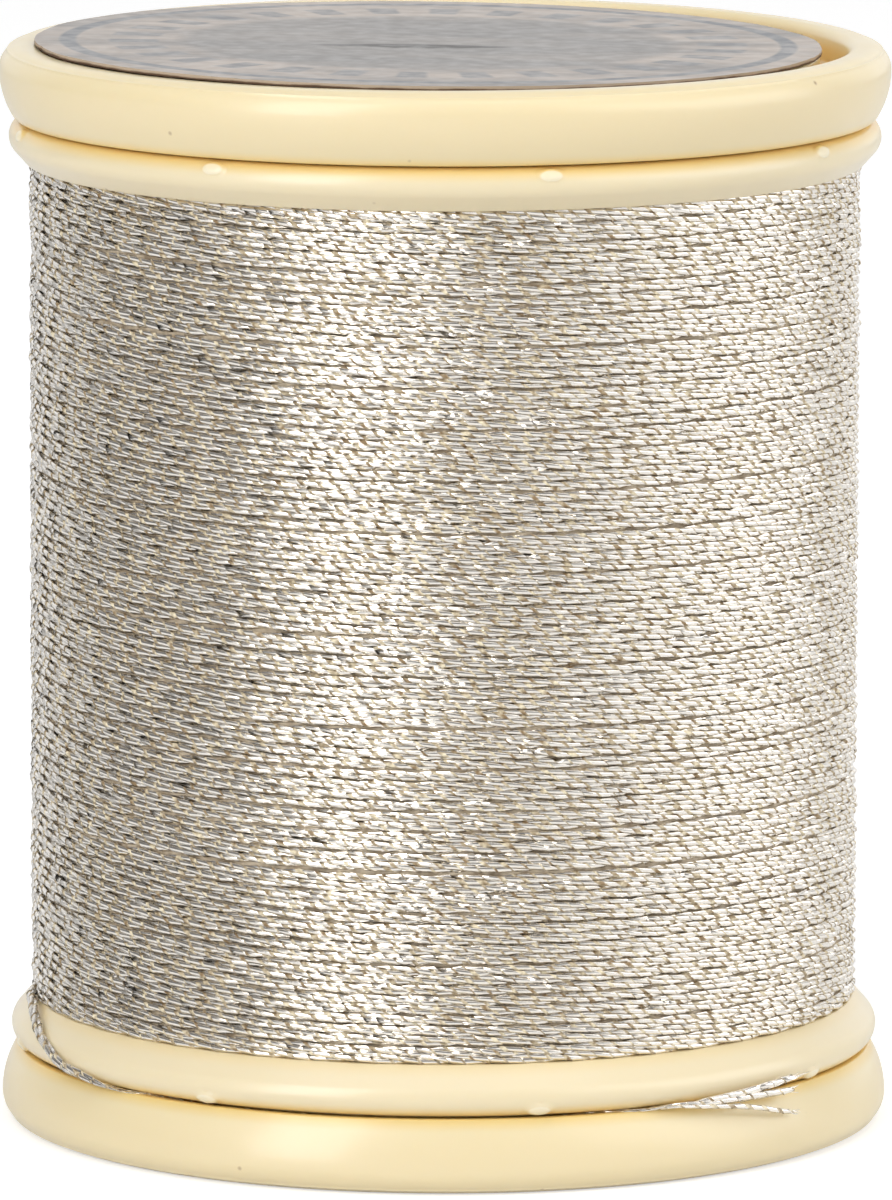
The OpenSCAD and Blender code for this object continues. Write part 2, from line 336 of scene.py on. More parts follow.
for name, azimuth, elevation, wide, high, radiance in SOFTBOXES:
    lamp = bpy.data.lights.new(name, "AREA")
    lamp.shape = "RECTANGLE"
    lamp.size, lamp.size_y = wide * MM, high * MM
    lamp.energy = radiance * math.pi * wide * MM * high * MM
    holder = bpy.data.objects.new(name, lamp)
    bpy.context.scene.collection.objects.link(holder)
    a, e = math.radians(azimuth), math.radians(elevation)
    level_distance = LAMP_DISTANCE * math.cos(e)
    holder.location = (level_distance * math.sin(a) * MM, -level_distance * math.cos(a) * MM,
                       (LAMP_DISTANCE * math.sin(e) + SPOOL_H / 2) * MM)
    holder.rotation_euler = (math.pi / 2 - e, 0, a)
    print(name, "of", wide, "x", high, "mm:", round(lamp.energy, 2), "W")

# %% [markdown]
# ## Floor
# The table is pale and goes over into the white room. More light would bleach it, but the spool as well, so
# the floor gives out a little light of its own, which only camera rays and reflected rays meet. It still
# takes the spool's shadow.

# %% Floor
FLOOR_HALF = 1500
FLOOR_TONE, FLOOR_LIFT, FLOOR_MIRRORED = 0.71, 0.54, 0.3

floor_paint, table, shader = new_paint("pale_floor")
rays = node(table, "ShaderNodeLightPath").outputs
looked_at = calc(table, "MAXIMUM", rays["Is Camera Ray"], rays["Is Transmission Ray"])
mirrored = calc(table, "MULTIPLY", rays["Is Glossy Ray"], FLOOR_MIRRORED)
lift = calc(table, "MULTIPLY_ADD", looked_at, FLOOR_LIFT, mirrored)
feed(table, shader, Base_Color=(FLOOR_TONE, FLOOR_TONE, FLOOR_TONE, 1), Roughness=0.9,
     Emission_Color=(1, 1, 1, 1), Emission_Strength=lift)
corners = [(x * FLOOR_HALF * MM, y * FLOOR_HALF * MM, 0) for x, y in ((-1, -1), (1, -1), (1, 1), (-1, 1))]
floor = mesh_piece("floor", corners, [(0, 1, 2, 3)], [floor_paint], smooth=False)
print("floor:", 2 * FLOOR_HALF, "mm square")

# %% [markdown]
# ## Ivory plastic
# The barrel and the caps are injection moulded in the same ivory polystyrene. It is glossy, a little uneven
# in tone, and holds a few dark specks from the regrind; warm shade is painted into its crevices and a
# highlight onto the barrel's nubs. Pictures could carry such a pattern, but a pattern worked out from each
# point's place has no seams and serves both ends.
# It is a node group, so that the barrel and the caps share it with their own values.

# %% Moulded plastic group


def group_with(name, inputs, outputs):
    """An empty node group with named inputs, each with its kind and value, and named outputs."""
    tree = bpy.data.node_groups.new(name, "ShaderNodeTree")
    for label, kind, value in inputs:
        socket = tree.interface.new_socket(label, in_out="INPUT", socket_type=kind)
        socket.default_value = value
    for label, kind in outputs:
        tree.interface.new_socket(label, in_out="OUTPUT", socket_type=kind)
    return tree, tree.nodes.new("NodeGroupInput").outputs, tree.nodes.new("NodeGroupOutput")


moulded, given, result = group_with(
    "moulded_plastic_surface",
    [("Tone", "NodeSocketColor", (0.90, 0.79, 0.53, 1)), ("Shade", "NodeSocketColor", (0.88, 0.76, 0.50, 1)),
     ("Painted Crevice Shade", "NodeSocketColor", (0.90, 0.64, 0.22, 1)), ("Crevice Shade Amount", "NodeSocketFloat", 0.9),
     ("Nub Amount", "NodeSocketFloat", 0.0), ("Speck Amount", "NodeSocketFloat", 0.5),
     ("Gloss", "NodeSocketFloat", 0.25)],
    [("Color", "NodeSocketColor"), ("Roughness", "NodeSocketFloat"), ("Height", "NodeSocketFloat")])
where = node(moulded, "ShaderNodeTexCoord").outputs["Object"]
toned = blended(moulded, noise(moulded, where, 180.0, 4.0), given["Tone"], given["Shade"])
print("plastic group takes:", ", ".join(socket.name for socket in given if socket.name))

# %% [markdown]
# ### Painted shade in the crevices
# Light that enters ivory plastic in a narrow gap comes out deeper and warmer, so that warm shade is painted
# into the colour in the slit, beside the thread and in the cap's groove. Ambient occlusion could find the
# gaps, but where a turned part has them is known. So the painted shade depends on the depth from the nearer
# end and on the distance from the axis, and one set of limits serves both ends.

# %% Painted shade in the crevices
SLIT_DEPTH, SLIT_REACH = 2.53, 0.46
THREAD_FROM, THREAD_TO, THREAD_SHARE = 3.80, 4.20, 0.35
GROOVE_FROM, GROOVE_TO, GROOVE_SHARE = 0.25, 0.80, 0.85
GROOVE_INNER, GROOVE_OUTER = (12.3, 12.6), (13.58, 13.95)

xyz = node(moulded, "ShaderNodeSeparateXYZ", Vector=where).outputs
off_middle = calc(moulded, "ABSOLUTE", calc(moulded, "SUBTRACT", xyz["Z"], SPOOL_H / 2 * MM))
depth = calc(moulded, "SUBTRACT", SPOOL_H / 2 * MM, off_middle)
across = vector_calc(moulded, "LENGTH", vector_calc(moulded, "MULTIPLY", where, (1, 1, 0)))
from_slit = calc(moulded, "ABSOLUTE", calc(moulded, "SUBTRACT", depth, SLIT_DEPTH * MM))
by_slit = ramp(moulded, from_slit, 0.0, SLIT_REACH, 1.0, 0.0)
by_thread = ramp(moulded, depth, THREAD_FROM, THREAD_TO, 0.0, THREAD_SHARE)
in_groove = calc(moulded, "MULTIPLY", ramp(moulded, depth, GROOVE_FROM, GROOVE_TO, 0.0, GROOVE_SHARE),
                 ramp(moulded, across, *GROOVE_OUTER, 1.0, 0.0))
in_groove = calc(moulded, "MULTIPLY", in_groove, ramp(moulded, across, *GROOVE_INNER, 0.0, 1.0))
# painted shade: a deeper, warmer tone in the slit, beside the thread and in the groove
crevice = calc(moulded, "MAXIMUM", calc(moulded, "MAXIMUM", by_slit, by_thread), in_groove)
crevice = calc(moulded, "MULTIPLY", crevice, given["Crevice Shade Amount"])
crevice_shaded = blended(moulded, crevice, toned, given["Painted Crevice Shade"])
print("crevices: the slit at", SLIT_DEPTH, "mm, the thread from", THREAD_FROM, "mm, the cap's groove")

# %% [markdown]
# ### Painted highlight on the nubs
# The nubs at the mouth of the slit catch the light, and their highlight is painted as a paler tone. Their
# mask repeats with the angle round the axis, as the nubs themselves do further on, and both use the values of
# this cell. The upper ring's nubs stand a little further round.

# %% Painted highlight on the nubs
RING_R = 14.68
NUBS, NUB_TURN, NUB_AHEAD = 8, 12.5, 1.2
NUB_DEPTH, NUB_HALF_LONG, NUB_HALF_WIDE = 2.75, 0.42, 0.24
NUB_SEEN = 0.82     # a nub lies on the shoulder's slope, so along the axis it measures less
NUB_HIGHLIGHT = (1.0, 0.91, 0.70)

apart = 2 * math.pi / NUBS
bearing = calc(moulded, "ARCTAN2", xyz["Y"], xyz["X"])
bearing = calc(moulded, "SUBTRACT", bearing, math.radians(NUB_TURN) - apart / 2)
upper = calc(moulded, "GREATER_THAN", xyz["Z"], SPOOL_H / 2 * MM)
bearing = calc(moulded, "SUBTRACT", bearing, calc(moulded, "MULTIPLY", upper, math.radians(NUB_AHEAD)))
sideways = calc(moulded, "SUBTRACT", calc(moulded, "FLOORED_MODULO", bearing, apart), apart / 2)
sideways = calc(moulded, "MULTIPLY", sideways, RING_R / NUB_HALF_LONG)
upright = calc(moulded, "SUBTRACT", depth, NUB_DEPTH * MM)
upright = calc(moulded, "DIVIDE", upright, NUB_HALF_WIDE * NUB_SEEN * MM)
off_nub = calc(moulded, "ADD", calc(moulded, "POWER", sideways, 2.0), calc(moulded, "POWER", upright, 2.0))
on_nub = levels(moulded, off_nub, 0.55, 1.0, 1.0, 0.0, smooth=True)
on_nub = calc(moulded, "MULTIPLY", on_nub, given["Nub Amount"])
# painted highlight: a paler tone on each nub
nub_highlighted = blended(moulded, on_nub, crevice_shaded, NUB_HIGHLIGHT)
print("nubs:", NUBS, "on each ring,", round(math.degrees(apart)), "degrees apart")

# %% [markdown]
# ### Specks and gloss
# Regrind leaves a few dark specks, and the mould's polish is never quite even. A Voronoi pattern scatters
# cells, and only the rare cell whose own number is high enough gets a speck. A fine noise moves the roughness
# and lifts the surface a little.

# %% Specks and gloss
SPECK_CELLS, SPECK_RARE = 900.0, 0.91
SPECK_BROWN = (0.30, 0.17, 0.07)
GLOSS_UNEVEN = 0.04

grit = node(moulded, "ShaderNodeTexVoronoi", Vector=where, Scale=SPECK_CELLS)
cell_number = node(moulded, "ShaderNodeSeparateColor", Color=grit.outputs["Color"]).outputs[0]
speck = calc(moulded, "MULTIPLY", levels(moulded, grit.outputs["Distance"], 0.02, 0.10, 1.0, 0.0),
             calc(moulded, "GREATER_THAN", cell_number, SPECK_RARE))
speck = calc(moulded, "MULTIPLY", speck, given["Speck Amount"])
ripple = noise(moulded, where, 650.0, 3.0)
polish = levels(moulded, ripple, 0.3, 0.7, -GLOSS_UNEVEN, GLOSS_UNEVEN)
feed(moulded, result, Color=blended(moulded, speck, nub_highlighted, SPECK_BROWN),
     Roughness=calc(moulded, "ADD", polish, given["Gloss"]), Height=ripple)
print("plastic group nodes:", len(moulded.nodes))

# %% [markdown]
# ### The two plastics
# Caps and barrel come from the same resin but from two moulds, so they differ slightly in tone and polish.
# Ivory polystyrene lets a little light in: a small subsurface share softens its edges. A thin coat gives the
# sharper gloss over the softer one.

# %% Plastics of the caps and the barrel


def ivory(name, tone, shade, nubs, specks, gloss):
    """One moulding's plastic."""
    paint, tree, shader = new_paint(name)
    surface = tree.nodes.new("ShaderNodeGroup")
    surface.node_tree = moulded
    feed(tree, surface, Tone=(*tone, 1), Shade=(*shade, 1), Nub_Amount=nubs, Speck_Amount=specks, Gloss=gloss)
    bump = node(tree, "ShaderNodeBump", Height=surface.outputs["Height"], Strength=0.35, Distance=0.05 * MM)
    feed(tree, shader, Base_Color=surface.outputs["Color"], Roughness=surface.outputs["Roughness"],
         Normal=bump.outputs[0], IOR=1.5, Coat_Weight=0.3, Coat_Roughness=0.14, Subsurface_Weight=0.2,
         Subsurface_Radius=(1.0, 0.85, 0.6), Subsurface_Scale=1.0 * MM)
    return paint


cap_ivory = ivory("ivory_caps", (0.885, 0.752, 0.480), (0.875, 0.735, 0.455), 0.0, 0.8, 0.34)
barrel_ivory = ivory("ivory_barrel", (0.885, 0.765, 0.525), (0.875, 0.748, 0.500), 0.7, 0.6, 0.33)
print("plastics:", cap_ivory.name, barrel_ivory.name)

# %% [markdown]
# ## End caps
# Each cap is one moulding: a rounded rim, a narrow groove, a platform, a recess with eight ribs round the
# bore, and a plug that snaps into the barrel. Its outline is written once, from the bore's edge round the rim
# to the plug, and turned. The upper cap is the lower one turned over. A Mirror modifier could do that, but
# the two lips stand at slightly different heights.

# %% Cap sizes
CAP_R, CAP_H = 15.0, 2.45                # the cap, as far as the slit
CREST, FLANK = 0.8, 2.9                  # radii of the rim's crest and of its long flank
RIM_IN_R, RIM_IN_ROUND = 13.55, 0.35     # the rim's inner side
WITNESS = 0.03                           # the mould's parting line stands this proud
PLATFORM_R, RECESS_R, DROP = 12.6, 11.7, 0.3     # DROP: how far the platform lies under the crest
GROOVE_Z, WEB_Z = 1.2, 1.35              # the floors of the groove and of the recess
HUB_R, BORE_R, HUB_LEN = 4.8, 3.5, 3.4
RIBS, RIB_T, RIB_TAPER, RIB_BURIED = 8, 0.8, 0.04, 0.2
SLIT, SEAT_GAP = 0.14, 0.05              # the slit nips the thread; the seat is a little lower than its end
LIP_RISE, TOP_LIP_RISE, LIP_SOFT = 0.06, -0.03, 0.10
BARREL_R, PLUG_R, PLUG_IN_R, PLUG_END = 12.0, 10.75, 9.75, 5.7
BEAD_R, BEAD_LOW, BEAD_HIGH, BEAD_RUN = 10.9, 4.9, 5.3, 0.15     # the bead that snaps into the barrel
SOFT, CRISP = 0.1, 0.03                  # edge radii of the moulding

lip_angle = math.degrees(math.asin((CAP_H - CREST) / FLANK))
LIP_R = CAP_R - FLANK + FLANK * math.cos(math.radians(lip_angle))
SEAT_Z = CAP_H + SLIT - SEAT_GAP
POCKET_OUT_R, POCKET_Z = LIP_R - 0.3, CAP_H - 0.35
POCKET_IN_R = POCKET_OUT_R - 0.95
print("the lip ends at", round(LIP_R, 2), "mm from the axis; the slit is", SLIT, "mm high")

# %% Cap outline


def rim_arcs():
    """The rim from the groove over its crest to the lip, with the mould's witness line as a fine step."""
    inner = (RIM_IN_R + RIM_IN_ROUND, RIM_IN_ROUND)
    crest = (CAP_R - CREST, CREST)
    return (arc(inner, RIM_IN_ROUND, -180, -90, 8) + arc(crest, CREST, -90, -55, 6)
            + arc(crest, CREST + WITNESS, -52.5, -50, 1) + arc(crest, CREST, -47.5, 0, 9)
            + arc((CAP_R - FLANK, CREST), FLANK, 0, lip_angle, 14)[1:-1])


def cap_outline(lip_rise):
    """A cap's half profile, from the bore's edge round the rim to the plug."""
    lip_z = CAP_H + lip_rise
    top_face = [(BORE_R, DROP, 0.15), (HUB_R, DROP, SOFT), (HUB_R, WEB_Z, SOFT), (RECESS_R, WEB_Z, SOFT),
                (RECESS_R, DROP, SOFT), (PLATFORM_R, DROP, SOFT), (PLATFORM_R, GROOVE_Z, 0.2),
                (RIM_IN_R, GROOVE_Z, 0.2)]
    lip = [(LIP_R, lip_z, LIP_SOFT), (POCKET_OUT_R, lip_z, 0.04), (POCKET_OUT_R, POCKET_Z, SOFT),
           (POCKET_IN_R, POCKET_Z, SOFT), (POCKET_IN_R, CAP_H, SOFT), (BARREL_R, CAP_H, CRISP),
           (BARREL_R, SEAT_Z, CRISP)]
    plug = [(PLUG_R, SEAT_Z, CRISP), (PLUG_R, BEAD_LOW - BEAD_RUN, CRISP), (BEAD_R, BEAD_LOW, 0.05),
            (BEAD_R, BEAD_HIGH, 0.05), (PLUG_R, BEAD_HIGH + BEAD_RUN, CRISP), (PLUG_R, PLUG_END, 0.12),
            (PLUG_IN_R, PLUG_END, 0.05), (PLUG_IN_R, CAP_H, 0.2)]
    hub = [(HUB_R, CAP_H, 0.2), (HUB_R, HUB_LEN, SOFT), (BORE_R, HUB_LEN, SOFT)]
    return filleted(top_face + rim_arcs() + lip + plug + hub)


print("points in a cap's outline:", len(cap_outline(LIP_RISE)))

# %% [markdown]
# ### Ribs and the closer lip
# Eight ribs stiffen the recess. Each is a bar whose two free edges are rounded and which widens a little
# towards its foot, as a rib must to leave the mould. On the spool's right the lower lip stands nearer to
# the ring, so a turned lip is lifted there by a smooth amount.

# %% Ribs and lip
CLOSER, CLOSE_FROM, CLOSE_UNTIL, CLOSE_OVER = 0.035, -48, 60, 14


def rib_bars():
    """The ribs of a cap's recess, with rounded lower edges."""
    half, foot_half = RIB_T / 2, RIB_T / 2 + RIB_TAPER
    edge_z, foot_z = DROP + 0.03, WEB_Z + RIB_BURIED
    section = filleted([(-half, edge_z, SOFT), (half, edge_z, SOFT), (foot_half, foot_z, 0),
                        (-foot_half, foot_z, 0)], 3)
    parts = []
    for k in range(RIBS):
        turn = (k + 0.5) * 2 * math.pi / RIBS
        along, aside = np.array((math.cos(turn), math.sin(turn))), np.array((-math.sin(turn), math.cos(turn)))
        verts = np.array([(*(along * r + aside * x), z)
                          for r in (HUB_R - RIB_BURIED, RECESS_R + RIB_BURIED) for x, z in section])
        parts.append((verts, looped_faces(2, len(section), flipped=True)))
    return stacked(*parts)


def lift_lip(verts):
    """Lifts the lip towards the ring on the spool's right, where the slit is tightest."""
    bearing = np.degrees(np.arctan2(verts[:, 1], verts[:, 0]))
    tight = (np.clip((bearing - CLOSE_FROM) / CLOSE_OVER, 0, 1)
             * np.clip((CLOSE_UNTIL - bearing) / CLOSE_OVER, 0, 1))
    on_lip = (np.hypot(verts[:, 0], verts[:, 1]) > POCKET_OUT_R - 0.01) & (verts[:, 2] > CAP_H - 0.15)
    verts[:, 2] += CLOSER * on_lip * tight * tight * (3 - 2 * tight)


print("ribs:", RIBS, "of", RIB_T, "mm; the lip is lifted by", CLOSER, "mm")

# %% Caps
SHARP_EDGE = 40

low_turned = revolved(cap_outline(LIP_RISE))
lift_lip(low_turned[0])
low_shape = stacked(low_turned, rib_bars())
low_cap = mesh_piece("lower_cap_moulding", low_shape[0] * MM, low_shape[1], [cap_ivory], sharp=SHARP_EDGE)
top_shape = turned_over(*stacked(revolved(cap_outline(TOP_LIP_RISE)), rib_bars()))
top_cap = mesh_piece("upper_cap_moulding", top_shape[0] * MM, top_shape[1], [cap_ivory], sharp=SHARP_EDGE)
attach(low_cap, "bottom_end")
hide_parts("bottom_cap")
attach(top_cap, "top_end")
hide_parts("top_cap")
print("cap faces:", len(low_cap.data.polygons))

# %% [markdown]
# ## Barrel
# The barrel's tube carries a round-edged ring at each end. Eight small nubs on each ring face the slit. They
# could be small spheres set on the ring, but the real ones are soft domes that fade into the shoulder, so the
# ring's own surface is pushed outwards there.

# %% Barrel outline
RING_FACE, HIGH_FACE, RING_ROUND = CAP_H + SLIT - 0.035, CAP_H + 0.02, 0.6
LOW_RING_END, HIGH_RING_END, RING_SLOPE = CAP_H + SLIT + 1.65, CAP_H + SLIT + 1.35, 0.9
TUBE_IN_R, CHANNEL_R, CHANNEL_LOW, CHANNEL_HIGH = 10.8, 10.95, 4.05, 5.35

round_r = RING_R - RING_ROUND


def ring_outline(ring_end, face):
    """Half of the barrel's outline, from its snap channel over the ring's face to the thread."""
    round_z = face + RING_ROUND
    neck = (round_r + RING_ROUND * math.cos(math.pi / 4), round_z + RING_ROUND * math.sin(math.pi / 4))
    channel = [(TUBE_IN_R, CHANNEL_HIGH + 0.1, 0.05), (CHANNEL_R, CHANNEL_HIGH, CRISP),
               (CHANNEL_R, CHANNEL_LOW, CRISP), (TUBE_IN_R, CHANNEL_LOW - 0.1, 0.05)]
    end_face = [(TUBE_IN_R, RING_FACE, 0.12), (BARREL_R + 0.3, RING_FACE, CRISP),
                (BARREL_R + 0.4, face, CRISP)]
    slope = [(neck[0] - (ring_end - neck[1]) * RING_SLOPE, ring_end, 0.08), (BARREL_R, ring_end, 0.1)]
    return channel + end_face + arc((round_r, round_z), RING_ROUND, -90, 45, 24) + slope


lower_half = ring_outline(LOW_RING_END, RING_FACE)
upper_half = [(r, SPOOL_H - z, f) for r, z, f in reversed(ring_outline(HIGH_RING_END, HIGH_FACE))]
barrel_outline = filleted(lower_half + upper_half, 3)
print("space for the thread:", round(SPOOL_H - LOW_RING_END - HIGH_RING_END, 2), "mm")

# %% Nubs and barrel
NUB_ANGLE, NUB_RISE = -35, 0.11
BARREL_SIDES = 720


def raise_nubs(verts, over=False):
    """Swells the ring's shoulder outwards at each nub; over is for the upper ring."""
    depth = SPOOL_H - verts[:, 2] if over else verts[:, 2]
    round_z = (HIGH_FACE if over else RING_FACE) + RING_ROUND
    dist = np.hypot(verts[:, 0], verts[:, 1])
    from_centre = np.stack((dist - round_r, depth - round_z), 1)
    on_shoulder = np.abs(np.linalg.norm(from_centre, axis=1) - RING_ROUND) < 0.01
    slant = np.degrees(np.arctan2(from_centre[:, 1], from_centre[:, 0]))
    bearing = np.degrees(np.arctan2(verts[:, 1], verts[:, 0])) - NUB_TURN - (NUB_AHEAD if over else 0)
    apart = 360 / NUBS
    along = np.radians((bearing + apart / 2) % apart - apart / 2) * RING_R / NUB_HALF_LONG
    across = np.radians(slant - NUB_ANGLE) * RING_ROUND / NUB_HALF_WIDE
    dome = np.clip(1 - (along ** 2 + across ** 2) ** 2, 0, 1) ** 0.5 * NUB_RISE * on_shoulder
    grow = 1 + dome / RING_ROUND
    new_dist = round_r + from_centre[:, 0] * grow
    new_depth = round_z + from_centre[:, 1] * grow
    moved = on_shoulder & (dome > 0)
    scale = np.where(moved, new_dist / np.maximum(dist, 1e-6), 1)
    verts[:, 0] *= scale
    verts[:, 1] *= scale
    verts[:, 2] = np.where(moved, SPOOL_H - new_depth if over else new_depth, verts[:, 2])


barrel_verts, barrel_faces = revolved(barrel_outline, BARREL_SIDES)
raise_nubs(barrel_verts)
raise_nubs(barrel_verts, over=True)
barrel = mesh_piece("barrel_moulding", barrel_verts * MM, barrel_faces, [barrel_ivory], sharp=SHARP_EDGE)
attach(barrel, "barrel")
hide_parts("spool_barrel")
print("barrel faces:", len(barrel.data.polygons))

# %% [markdown]
# ## Card label
# A disc of thin card is glued on the upper cap, a little off centre, and leans on the rim at one side. Its
# face is printed in a satin silver with plain rings only, worn and mottled, and the shade of a short crease
# over the bore is painted on it. The print could be a picture. Here it is drawn from the distance and the
# angle round the label's middle, which stays sharp from near by.

# %% Label's place
LABEL_R, LABEL_T = 13.25, 0.15
LABEL_SHIFT, LABEL_LIFT = 0.6, 0.04
LABEL_TURN = math.radians(200)
LABEL_LEAN = math.asin(DROP / (2 * LABEL_R))
LABEL_CENTRE = (LABEL_SHIFT * math.cos(LABEL_TURN), LABEL_SHIFT * math.sin(LABEL_TURN),
                SPOOL_H - DROP / 2 + LABEL_LIFT)
LABEL_UP = (math.sin(-LABEL_LEAN) * math.cos(LABEL_TURN), math.sin(-LABEL_LEAN) * math.sin(LABEL_TURN),
            math.cos(LABEL_LEAN))
print("label:", 2 * LABEL_R, "mm across, leaning", round(math.degrees(LABEL_LEAN), 2), "degrees")

# %% Printed rings
OUTER_RING = (12.12, 0.22, 0.12)
BAR_RING, BARS = (9.9, 0.75, 0.15), 30
INK = (0.19, 0.20, 0.22)
SILVER_PALE, SILVER_DEEP = (0.50, 0.43, 0.375), (0.28, 0.255, 0.24)
DISC_EDGE, DISC_TONE = (8.0, 8.6), (0.245, 0.235, 0.23)

face_paint, card, face_shader = new_paint("satin_silver_card")
spot_node = node(card, "ShaderNodeMapping", Vector=node(card, "ShaderNodeTexCoord").outputs["Object"])
feed(card, spot_node, Location=(-LABEL_CENTRE[0] * MM, -LABEL_CENTRE[1] * MM, 0))
spot = spot_node.outputs[0]
from_axis = vector_calc(card, "LENGTH", vector_calc(card, "MULTIPLY", spot, (1, 1, 0)))
radius_mm = calc(card, "DIVIDE", from_axis, MM)
centred = node(card, "ShaderNodeSeparateXYZ", Vector=spot).outputs
fibre = noise(card, spot, 1500.0, 6.0)
cloudy = noise(card, vector_calc(card, "MULTIPLY", spot, (0.35, 1.0, 1.0)), 420.0, 5.0)


def band(tree, value, middle, half, soft):
    """1 where value lies within half of middle, fading over soft."""
    away = calc(tree, "ABSOLUTE", calc(tree, "SUBTRACT", value, middle))
    return levels(tree, away, half, half + soft, 1.0, 0.0)


label_bearing = calc(card, "ARCTAN2", centred["Y"], centred["X"])
wave = calc(card, "SINE", calc(card, "MULTIPLY", label_bearing, BARS))
bars = levels(card, wave, -0.2, 0.4, 0.0, 0.8, smooth=True)
ink = calc(card, "MAXIMUM", band(card, radius_mm, *OUTER_RING),
           calc(card, "MULTIPLY", band(card, radius_mm, *BAR_RING), bars))
ink = calc(card, "MULTIPLY", ink, levels(card, fibre, 0.35, 0.6, 0.70, 1.0))
ground = blended(card, levels(card, cloudy, 0.38, 0.62, 0.0, 1.0), SILVER_PALE, SILVER_DEEP)
disc = blended(card, levels(card, radius_mm, *DISC_EDGE, 0.70, 0.0), ground, DISC_TONE)
printed = blended(card, ink, disc, INK)
print("printed: one plain ring, a ring of", BARS, "bars and a plain disc")

# %% [markdown]
# ### Painted crease shade and satin
# The card has given way over the bore in a short crease, and the crease's shade is painted on as a dark line.
# The painted shade is drawn as a lens: the distance from its line, plus a share that grows towards its two
# ends. The foil is satin, so the face is partly metallic, and the card's fibres show in its roughness.

# %% Painted crease shade and satin
CREASE_AT, CREASE_HALF_LONG, CREASE_TAPER = (-0.5, -0.9), 3.4, 0.6
CREASE_WAVE = 0.5
CREASE_SHADE = (0.03, 0.025, 0.02)

fold_line = calc(card, "MULTIPLY_ADD", fibre, CREASE_WAVE * MM, -CREASE_AT[1] * MM)
off_fold = calc(card, "ABSOLUTE", calc(card, "ADD", centred["Y"], fold_line))
along_fold = calc(card, "ABSOLUTE", calc(card, "ADD", centred["X"], -CREASE_AT[0] * MM))
ends = calc(card, "POWER", calc(card, "DIVIDE", along_fold, CREASE_HALF_LONG * MM), 2.0)
off_lens = calc(card, "ADD", off_fold, calc(card, "MULTIPLY", ends, CREASE_TAPER * MM))
# painted shade of the crease, darkest along its line
fold_shade = ramp(card, off_lens, 0.40, 0.75, 0.9, 0.0)
grain = node(card, "ShaderNodeBump", Height=calc(card, "MULTIPLY_ADD", cloudy, 1.6, fibre), Strength=0.25,
             Distance=0.03 * MM)
feed(card, face_shader, Base_Color=blended(card, fold_shade, printed, CREASE_SHADE), Metallic=0.45,
     Roughness=levels(card, fibre, 0.3, 0.7, 0.30, 0.46), Normal=grain.outputs[0])
print("crease:", 2 * CREASE_HALF_LONG, "mm long at most")

# %% [markdown]
# ### Cut edge
# The cut edge shows the brown board under the printed face. Its two layers are told apart by the height over
# the label's own plane, and a little noise makes the border between them ragged, as in a punched card.

# %% Board edge
TEAR = 0.12
BOARD_DARK, BOARD_PALE = (0.10, 0.055, 0.03), (0.50, 0.40, 0.30)

edge_paint, board, edge_shader = new_paint("brown_board_edge")
place = node(board, "ShaderNodeTexCoord").outputs["Object"]
over_plane = calc(board, "MULTIPLY_ADD", noise(board, place, 900.0, 4.0), TEAR * MM,
                  vector_calc(board, "DOT_PRODUCT", place, LABEL_UP))
foot = LABEL_CENTRE[2] + TEAR / 2
layers = ramp(board, over_plane, foot + 0.02, foot + 0.09, 0.0, 1.0)
feed(board, edge_shader, Base_Color=blended(board, layers, BOARD_DARK, BOARD_PALE), Roughness=0.85)
print("board layers from", round(foot + 0.02, 2), "to", round(foot + 0.09, 2), "mm")

# %% [markdown]
# ### Label's disc
# A Cylinder primitive would give one big face on top. Rings of points are used instead, because the outermost
# ones follow the slightly frayed cut, while the inner ones stay round. A fan closes the middle. The seeded
# generator that starts here serves all later random values, in the order of this file.

# %% Label's disc
SEED = 20
LABEL_SIDES, LABEL_RINGS = 288, 24
FRAY_WAVE, FRAY_WAVES, FRAY_SIZE, FRAY_BACK = 0.02, 17, 0.012, 0.03
FACE, EDGE = 0, 1

random = np.random.default_rng(SEED)
turn = np.linspace(0, 2 * math.pi, LABEL_SIDES, endpoint=False)
fray = FRAY_WAVE * np.sin(turn * FRAY_WAVES + 1) + FRAY_SIZE * random.standard_normal(LABEL_SIDES)
radii = LABEL_R * np.linspace(0, 1, LABEL_RINGS + 1)[1:]
rows = []
for r, lift in [(LABEL_R, 0.0)] + [(r, LABEL_T) for r in radii[::-1]]:
    reach = r + (fray - FRAY_BACK) * (r / LABEL_R) ** 8
    rows.append(np.stack((reach * np.cos(turn), reach * np.sin(turn), np.full(LABEL_SIDES, lift)), 1))
label_tilt = Matrix.Rotation(LABEL_TURN, 3, "Z") @ Matrix.Rotation(-LABEL_LEAN, 3, "Y")
label_verts = np.concatenate(rows + [[[0, 0, LABEL_T]]]) @ np.array(label_tilt).T + LABEL_CENTRE
label_faces = looped_faces(len(rows), LABEL_SIDES, flipped=True)
paint_of = np.where(np.arange(len(label_faces)) < LABEL_SIDES, EDGE, FACE)
label = mesh_piece("card_label", label_verts * MM, label_faces, [face_paint, edge_paint], paint_of,
                   sharp=SHARP_EDGE)
shape = bmesh.new()
shape.from_mesh(label.data)
shape.verts.ensure_lookup_table()
middle = shape.verts[len(label_verts) - 1]
inmost = (len(rows) - 1) * LABEL_SIDES
for k in range(LABEL_SIDES):
    here, beside = shape.verts[inmost + k], shape.verts[inmost + (k + 1) % LABEL_SIDES]
    shape.faces.new((here, beside, middle)).smooth = True
shape.faces.new([shape.verts[k] for k in reversed(range(LABEL_SIDES))]).material_index = EDGE
shape.to_mesh(label.data)
shape.free()
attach(label, "top_end")
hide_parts("top_label")
print("label faces:", len(label.data.polygons))

# %% [markdown]
# ## Thread
# The cord is three plies laid together. Each ply is a tan core with a flat strip of metallised film wound
# round it, so it looks like a row of small silver bricks with thin tan joints. One long path serves the
# winding and its loose tail: it turns down the barrel, passes over the lower ring, lies in the slit and
# comes out again, where the plies part. A curve with a bevel would be quick, but it would be a smooth wire.
# Here the strip itself is built along that path, because its edges are what glitters.

